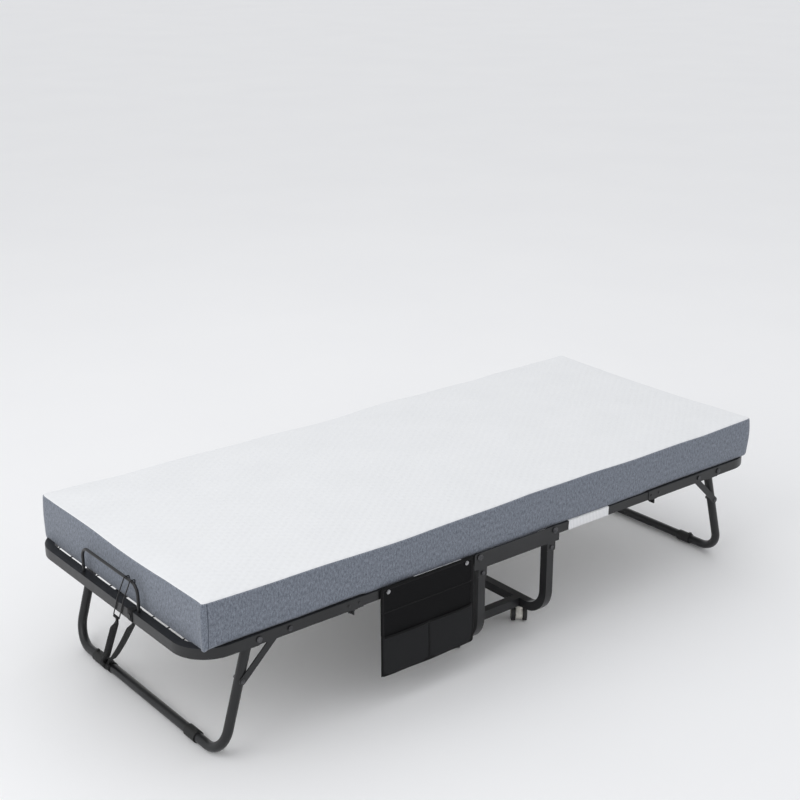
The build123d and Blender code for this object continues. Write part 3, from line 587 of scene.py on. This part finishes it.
def ruffle(shell, rings, held):
    # gentle unevenness of foam under loose cloth, and the sunk seam along the top edge
    still = set(held)
    seam = set(rings[1])
    normals = [v.normal.copy() for v in shell.data.vertices]
    middle = (mattress["top"] + mattress["bottom"]) / 2
    for index, vertex in enumerate(shell.data.vertices):
        inside = abs(vertex.co.y) < mattress["droopFromY"] and vertex.co.x > mattress["droopHeadX"]
        if index in still and inside:
            continue
        x, y, z = vertex.co
        broad = noise.noise(Vector((x * 2.3, y * 2.9, 4.1)))
        local = noise.noise(Vector((x * 9.0, y * 9.0, z * 9.0 + 7.7)))
        height = max(0.0, (z - middle) / (mattress["top"] - middle))
        fromSide = mattress["width"] / 2 - abs(y)
        fromEnd = min(mattress["headEnd"] + x, mattress["footEnd"] - x)
        nearEdge = max(0.0, 1 - min(fromSide, fromEnd) / mattress["edgeSagReach"]) ** 2
        fromCorner = math.hypot(fromSide, fromEnd)
        nearEdge *= min(1.0, fromCorner / mattress["cornerStay"]) ** 1.5
        droop = 0.55 + 1.3 * noise.noise(Vector((x * 3.9, y * 3.9, 8.8)))
        sag = mattress["edgeSag"] * nearEdge * max(0, droop)
        vertex.co.z += height * (mattress["broadWave"] * broad + mattress["localWave"] * local - sag)
        sideWave = noise.noise(Vector((x * 6.5, y * 6.5, z * 5 + 1.3)))
        bumps = mattress["sideWave"] * sideWave + mattress["sideLocal"] * local
        vertex.co += normals[index] * bumps * (1 if height < 0.97 else mattress["topShare"])
        # the foot end leans out over the hoop
        rise = min(1.0, max(0.0, (z - mattress["bottom"]) / (mattress["top"] - mattress["bottom"])))
        if x > mattress["leanFromX"]:
            outmost = (x - mattress["leanFromX"]) / (mattress["footEnd"] - mattress["leanFromX"])
            bulge = mattress["endBulge"] * math.sin(math.pi * rise) * min(1, 2 * rise)
            vertex.co.x += outmost * (mattress["lean"] * height + bulge)
        # the lower edge droops between the middle rails and at the head end
        alongRail = abs(y) > mattress["droopFromY"] and abs(x) < mattress["droopToX"]
        if rise < mattress["droopRise"] and (alongRail or x < mattress["droopHeadX"]):
            vertex.co.z -= mattress["underDroop"] * (1 - rise / mattress["droopRise"])
        if index in seam:
            vertex.co -= normals[index] * mattress["seamDepth"]
    shell.data.update()


def halfOf(whole, name, side, capMaterial):
    made = bmesh.new()
    made.from_mesh(whole)
    other = [f for f in made.faces if f.calc_center_median().x * side < 0]
    bmesh.ops.delete(made, geom=other, context="FACES")
    edges = [e for e in made.edges if e.is_boundary]
    cap = bmesh.ops.contextual_create(made, geom=edges)["faces"]
    for face in cap:
        face.material_index = capMaterial
        face.smooth = False
        for edge in face.edges:
            edge.smooth = False
    bmesh.ops.triangulate(made, faces=cap)
    bmesh.ops.recalc_face_normals(made, faces=made.faces)
    mesh = bpy.data.meshes.new(name)
    made.to_mesh(mesh)
    made.free()
    for material in whole.materials:
        mesh.materials.append(material)
    piece = bpy.data.objects.new(name, mesh)
    bpy.context.scene.collection.objects.link(piece)
    return piece


topKnit = knitTop("topKnit")
sideKnit = heatherKnit("sideKnit", mattress["sideSeams"])
underCloth = wovenCloth("underCloth", (0.58, 0.57, 0.54), (0.74, 0.73, 0.7), 180)
sideThread = mouldedPlastic("sideThread", (0.3, 0.33, 0.37), (0.42, 0.45, 0.5), 0.7)

shell, rings, held = buildMattress(topKnit, sideKnit, underCloth)
inflate(shell, held)
ruffle(shell, rings, held)
smoother = shell.modifiers.new("round", "SUBSURF")
smoother.levels = smoother.render_levels = 1
evaluated = shell.evaluated_get(bpy.context.evaluated_depsgraph_get())
roundMesh = bpy.data.meshes.new_from_object(evaluated)
seamLine = [roundMesh.vertices[i].co + roundMesh.vertices[i].normal * 0.0002 for i in rings[2]]
bpy.data.objects.remove(shell)
print("mattress shaped,", len(roundMesh.polygons), "faces")

for half, side in (("head", -1), ("foot", 1)):
    pad = halfOf(roundMesh, half + "Mattress", side, 2)
    lines, run = [], []
    for k in range(len(seamLine) + 1):
        point = seamLine[k % len(seamLine)]
        if point.x * side > -0.001:
            run.append(point)
        elif run:
            lines.append(run)
            run = []
    if run:
        lines.append(run)
    stitches = sew(half + "MattressStitches", lines, sideThread, 0.006, 0.004, 0.0009)
    for piece in (pad, stitches):
        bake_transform(piece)
    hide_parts(half + "_mattress", "mattress_centre")
print("mattress halves placed")


# elastic bands under the mattress
bands = {
    "inner": 0.193, "width": 0.157, "thickness": 0.001, "reach": 0.313, "railBottom": 0.3048,
    "railWidth": 0.0245, "cells": 40, "wave": 0.0022, "slack": 0.0006,
}
elastic = ribbedElastic("elastic")


def bandShell(name, end, side, box):
    lowest, highest = box
    outer = side * (highest.y - bands["thickness"] / 2)
    inner = side * (highest.y - bands["railWidth"])
    top, bottom = highest.z - bands["thickness"] / 2, lowest.z + bands["thickness"] / 2
    corners = [(inner, top), (outer, top), (outer, bands["railBottom"]), (inner, bands["railBottom"]),
               (side * bands["reach"], bottom)]
    guide = []
    for (y1, z1), (y2, z2) in zip(corners, corners[1:]):
        steps = max(3, int(math.hypot(y2 - y1, z2 - z1) / 0.004))
        guide += [(y1 + (y2 - y1) * s / steps, z1 + (z2 - z1) * s / steps) for s in range(steps)]
    guide.append(corners[-1])
    length = sum(math.dist(a, b) for a, b in zip(guide, guide[1:]))

    def pointAt(u, v):
        y, z = guide[round(v * (len(guide) - 1))]
        wave = noise.noise(Vector((u * 6, v * 5, side + end * 3))) * bands["wave"]
        slack = 0.0
        if abs(y - inner) > 0.002:
            slack = bands["slack"] * noise.noise(Vector((u * 12, v * 4, end * 5)))
        return (end * (bands["inner"] + bands["width"] * u + wave * (2 * u - 1)), y, z - abs(slack))

    band = thinShell(name, pointAt, bands["cells"], len(guide) - 1, bands["thickness"] * 0.6,
                     (0, -side * 0.5, 0.0), (bands["width"], length), elastic)
    return band, length


for half, end in (("head", -1), ("foot", 1)):
    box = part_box(half + "_retaining_bands")
    for word, side in (("Near", -1), ("Far", 1)):
        band, length = bandShell(half + "Band" + word, end, side, box)
        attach(band, half + "_half")
        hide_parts(half + "_retaining_bands")
print("bands wrapped")


# hanging organizer on the near rail
pouch = {
    "left": -0.464, "right": -0.160, "top": 0.335, "bottom": 0.090, "back": -0.4122, "thickness": 0.0013,
    "pocketTop": 0.202, "pocketBulge": 0.0042, "tape": 0.010, "tapeThickness": 0.0024, "seamHeight": 0.266,
    "hingeX": -0.312, "hingeY": -0.412, "hinge": (0.312, 0.296), "bend": 0.003, "bendCut": 0.0009,
}
pouchCloth = wovenCloth("pouchCloth", (0.0025, 0.0025, 0.0028), (0.008, 0.008, 0.0088),
                        420, 0.9, 0.02, 0.12)
pocketCloth = wovenCloth("pocketCloth", (0.008, 0.0083, 0.0088), (0.022, 0.0225, 0.024),
                         360, 0.9, 0.02, 0.15)
tapeCloth = wovenCloth("tapeCloth", (0.0025, 0.0025, 0.0027), (0.007, 0.007, 0.0075),
                       600, 0.85, 0.02, 0.15)
pouchThread = mouldedPlastic("pouchThread", (0.012, 0.012, 0.0125), (0.03, 0.03, 0.031), 0.6)
pouchWidth = pouch["right"] - pouch["left"]


def panelOut(x, z):
    # how far the hanging panel stands off the rail
    u = (x - pouch["left"]) / pouchWidth
    drop = min(1.0, max(0.0, (0.318 - z) / 0.222))
    wave = noise.noise(Vector((x * 14, z * 5, 2.2)))
    return 0.0012 + drop * (0.0035 * math.sin(math.pi * u) + 0.0018 * wave + 0.0012)


def panelPoint(x, z, lift=0.0):
    return Vector((x, pouch["back"] - panelOut(x, z) - lift, z))


def pocketLift(x, z):
    u = (x - pouch["left"]) / pouchWidth
    pocket = abs(math.sin(2 * math.pi * u)) ** 0.6
    down = (pouch["pocketTop"] - z) / (pouch["pocketTop"] - pouch["bottom"])
    return 0.0016 + pouch["pocketBulge"] * pocket * (1 - 0.72 * down ** 2) * (1 if down < 1 else 0.2)


def panelAt(u, v):
    down = pouch["top"] - pouch["bottom"]
    return panelPoint(pouch["left"] + pouchWidth * u, pouch["top"] - down * v)


def pocketAt(u, v):
    x = pouch["left"] + 0.004 + (pouchWidth - 0.008) * u
    z = pouch["pocketTop"] - 0.001 - (pouch["pocketTop"] - pouch["bottom"] - 0.004) * v
    return panelPoint(x, z, pocketLift(x, z))


def edgeLine(points, lift, step=0.006):
    line = []
    for (x1, z1), (x2, z2) in zip(points, points[1:]):
        count = max(2, int(math.dist((x1, z1), (x2, z2)) / step))
        for s in range(count):
            x, z = x1 + (x2 - x1) * s / count, z1 + (z2 - z1) * s / count
            line.append(panelPoint(x, z, lift(x, z)))
    line.append(panelPoint(*points[-1], lift(*points[-1])))
    return line


def inPlaneWidths(line, closed):
    result = []
    for k in range(len(line)):
        before = line[k - 1] if closed or k else line[k]
        after = line[(k + 1) % len(line)] if closed or k < len(line) - 1 else line[k]
        result.append((after - before).normalized().cross(Vector((0, 1, 0))).normalized())
    return result


panel = thinShell("organizerPanel", panelAt, 38, 60, pouch["thickness"], (0, 1, 0),
                  (pouchWidth, 0.245), pouchCloth)
pockets = thinShell("organizerPockets", pocketAt, 64, 20, 0.0011, (0, 1, 0),
                    (pouchWidth, 0.108), pocketCloth)

inset = pouch["tape"] / 2 - 0.0008
leftX, rightX = pouch["left"] + inset, pouch["right"] - inset
topZ, lowZ = pouch["top"] - inset, pouch["bottom"] + inset
bend, cut = pouch["bend"], pouch["bendCut"]
outline = [(leftX + bend, topZ), (rightX - bend, topZ), (rightX - cut, topZ - cut), (rightX, topZ - bend),
           (rightX, lowZ + bend), (rightX - cut, lowZ + cut), (rightX - bend, lowZ), (leftX + bend, lowZ),
           (leftX + cut, lowZ + cut), (leftX, lowZ + bend), (leftX, topZ - bend),
           (leftX + cut, topZ - cut), (leftX + bend, topZ)]


def tapeLift(x, z):
    return -0.0005 if z > pouch["pocketTop"] else 0.0012


tapeLine = edgeLine(outline, tapeLift)[:-1]
mouthZ, seamZ = pouch["pocketTop"] - 0.004, pouch["seamHeight"]
mouthLine = edgeLine([(leftX + 0.004, mouthZ), (rightX - 0.004, mouthZ)],
                     lambda x, z: pocketLift(x, z) - 0.0004, 0.004)
seamTape = edgeLine([(leftX, seamZ), (rightX, seamZ)], lambda x, z: 0.0002)
centreX = (leftX + rightX) / 2
middleTape = edgeLine([(centreX, pouch["pocketTop"] - 0.002), (centreX, lowZ)], lambda x, z: 0.0018)
binding = ribbonPiece("organizerBinding", [(tapeLine, inPlaneWidths(tapeLine, True), True)],
                      pouch["tape"], pouch["tapeThickness"], tapeCloth)
mouthTape = ribbonPiece("pocketMouthTape", [(mouthLine, inPlaneWidths(mouthLine, False), False)],
                        0.006, 0.0020, tapeCloth)
seamTapes = ribbonPiece("organizerSeamTapes", [(seamTape, inPlaneWidths(seamTape, False), False)],
                        0.005, 0.0012, tapeCloth)
middleSeam = ribbonPiece("pocketMiddleSeam", [(middleTape, inPlaneWidths(middleTape, False), False)],
                         0.006, 0.0014, tapeCloth)

fromTape = pouch["tape"] / 2 - 0.0016
sewLeft, sewRight, sewTop, sewLow = leftX + fromTape, rightX - fromTape, topZ - fromTape, lowZ + fromTape
stitchOutline = [(sewLeft, sewTop), (sewRight, sewTop), (sewRight, sewLow), (sewLeft, sewLow),
                 (sewLeft, sewTop)]
surface = pouch["tapeThickness"] / 2
tapeStitches = sew("organizerTapeStitches",
                   [edgeLine(stitchOutline, lambda x, z: tapeLift(x, z) + surface * 0.85)],
                   pouchThread, 0.0045, 0.003, 0.0007)
seamStitches = sew("organizerSeamStitches", [
    edgeLine([(leftX, seamZ + shift), (rightX, seamZ + shift)], lambda x, z: 0.0009)
    for shift in (0.0012, -0.0012)], pouchThread, 0.0045, 0.003, 0.0006)
mouthSewZ = pouch["pocketTop"] - 0.0078
pocketStitches = sew("pocketStitches", [
    edgeLine([(centreX + shift, mouthZ), (centreX + shift, lowZ)], lambda x, z: 0.0027)
    for shift in (-0.0016, 0.0016)] + [
    edgeLine([(leftX + 0.006, mouthSewZ), (rightX - 0.006, mouthSewZ)],
             lambda x, z: pocketLift(x, z) + 0.0006, 0.003)],
    pouchThread, 0.0045, 0.003, 0.0006)
for piece in (panel, binding, tapeStitches):
    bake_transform(piece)
for piece in (pockets, mouthTape, middleSeam, pocketStitches, seamTapes, seamStitches):
    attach(piece, "organizer")
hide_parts("organizer_hem", "organizer_pockets")
print("organizer sewn")


# strap from the hook at the head hoop to the leg
strap = {
    "width": 0.022, "thickness": 0.0016, "railX": -0.9825, "railY": -0.119, "railZ": 0.318,
    "railHalf": (0.0136, 0.0151), "legX": -0.907, "legY": 0.19, "legZ": 0.0155, "legRadius": 0.0137,
    "linkX": -0.9975, "linkY": -0.05, "linkZ": 0.287, "sag": 0.016, "drift": 0.006,
    "loopBend": 0.003, "foldedShare": 0.12,
}
webbing = webbingWeave("webbing")


def railLoop():
    halfX, halfZ = strap["railHalf"]
    bend = strap["loopBend"]
    corners = []
    for sx, sz, start in ((1, 1, 0), (-1, 1, 90), (-1, -1, 180), (1, -1, 270)):
        for turn in (0, 30, 60, 90):
            a = math.radians(start + turn)
            corners.append(Vector((strap["railX"] + sx * (halfX - bend) + bend * math.cos(a), strap["railY"],
                                   strap["railZ"] + sz * (halfZ - bend) + bend * math.sin(a))))
    return corners, [Vector((0, 1, 0))] * len(corners), True


def legWrap(shift, lift):
    turns = [math.radians(a) for a in range(0, 360, 20)]
    radius = strap["legRadius"] + lift
    points = [Vector((strap["legX"] + radius * math.cos(a), strap["legY"] + shift,
                      strap["legZ"] + radius * math.sin(a))) for a in turns]
    return points, [Vector((0, 1, 0))] * len(points), True


def hangingRun(start, end, startAcross, endAcross):
    # a slack run, its ends pulled straight, that twists from one width direction to the other
    guides = [start]
    for share in (0.12, 0.35, 0.62, 0.86):
        point = start.lerp(end, share)
        point.z -= strap["sag"] * math.sin(math.pi * share)
        point.x -= strap["drift"] * math.sin(math.pi * share)
        guides.append(point)
    guides.append(end)
    line = smoothPath(guides, 10)
    middle = Vector((1.0, -0.15, 0.05)).normalized()
    widths = []
    for k in range(len(line)):
        t = k / (len(line) - 1)
        early = min(1, t / 0.2)
        late = min(1, (1 - t) / 0.2)
        across = startAcross.lerp(middle, early) if t < 0.5 else endAcross.lerp(middle, late)
        widths.append(across.normalized())
    return line, widths, False


sideways = Vector((0.35, 1, 0)).normalized()
underRail = strap["railZ"] - strap["railHalf"][1]
overLeg = strap["legZ"] + strap["legRadius"]
longRun = hangingRun(Vector((strap["railX"], strap["railY"] + 0.004, underRail - 0.001)),
                     Vector((strap["legX"] - 0.004, strap["legY"] - 0.010, overLeg + 0.001)),
                     sideways, sideways)
shortRun = hangingRun(Vector((strap["linkX"], strap["linkY"], strap["linkZ"] - 0.0045)),
                      Vector((strap["legX"] - 0.007, strap["legY"] + 0.008, overLeg - 0.0005)),
                      Vector((0.1, 1, 0)).normalized(), sideways)
linkTurns = [math.radians(t) for t in range(0, 360, 30)]
linkPath = [Vector((strap["linkX"] + 0.0028 * math.cos(a), strap["linkY"],
                    strap["linkZ"] + 0.0032 * math.sin(a))) for a in linkTurns]
linkWrap = (linkPath, [Vector((0, 1, 0))] * len(linkPath), True)
straps = ribbonPiece("legStrap", [longRun, shortRun], strap["width"], strap["thickness"], webbing)
strapLoops = ribbonPiece("strapLoops", [railLoop(), linkWrap], strap["width"], strap["thickness"], webbing)
strapWraps = ribbonPiece("strapWraps", [legWrap(-0.012, 0.0), legWrap(0.010, 0.0012)],
                         strap["width"], strap["thickness"], webbing)
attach(straps, "head_half")
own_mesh(straps)
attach(strapLoops, "head_half")
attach(strapWraps, "head_leg")
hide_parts("strap_webbing")
print("strap threaded")


# floor, light and camera
stage = {
    "floorHalf": 45.0, "worldStrength": 0.82,
    "lights": [("keyLight", (-3.6, -0.4, 3.0), 3.0, 42), ("fillLight", (2.6, -4.2, 2.4), 3.5, 6),
               ("topLight", (0.5, 1.6, 4.2), 4.0, 14)],
    "cameraPlace": (-2.433, -2.926, 1.953), "lens": 65.0, "tilt": 70.585, "turn": -38.93,
    "aim": (0, 0, 0.3), "clipEnd": 60,
}

size = stage["floorHalf"]
floorMesh = bpy.data.meshes.new("floor")
floorMesh.from_pydata([(-size, -size, 0), (size, -size, 0), (size, size, 0), (-size, size, 0)],
                      [], [(0, 1, 2, 3)])
floorMaterial, floorTree, floorShader = startMaterial("paleFloor", (0.93, 0.93, 0.935), 0.8)
floorCloud = speckle(floorTree, surfacePlace(floorTree, "Object"), 1.2, 3)
floorTint = tint(floorTree, floorCloud, (0.925, 0.925, 0.93), (0.94, 0.94, 0.943))
floorTree.links.new(floorTint, floorShader.inputs["Base Color"])
floorMesh.materials.append(floorMaterial)
floor = bpy.data.objects.new("floor", floorMesh)
bpy.context.scene.collection.objects.link(floor)

world = bpy.data.worlds.new("studio")
bpy.context.scene.world = world
world.use_nodes = True
sky = world.node_tree.nodes["Background"].inputs
sky["Color"].default_value = (0.97, 0.98, 1.0, 1)
sky["Strength"].default_value = stage["worldStrength"]
for name, place, width, power in stage["lights"]:
    light = bpy.data.lights.new(name, "AREA")
    light.shape = "SQUARE"
    light.size = width
    light.energy = power
    lamp = bpy.data.objects.new(name, light)
    lamp.location = place
    aim = Vector(stage["aim"]) - Vector(place)
    lamp.rotation_euler = aim.to_track_quat("-Z", "Y").to_euler()
    bpy.context.scene.collection.objects.link(lamp)

camera = bpy.data.objects.new("camera", bpy.data.cameras.new("camera"))
camera.data.lens = stage["lens"]
camera.data.clip_end = stage["clipEnd"]
camera.location = stage["cameraPlace"]
camera.rotation_euler = (math.radians(stage["tilt"]), 0, math.radians(stage["turn"]))
bpy.context.scene.collection.objects.link(camera)
bpy.context.scene.camera = camera
bpy.context.scene.view_settings.view_transform = "Standard"
print("stage set")
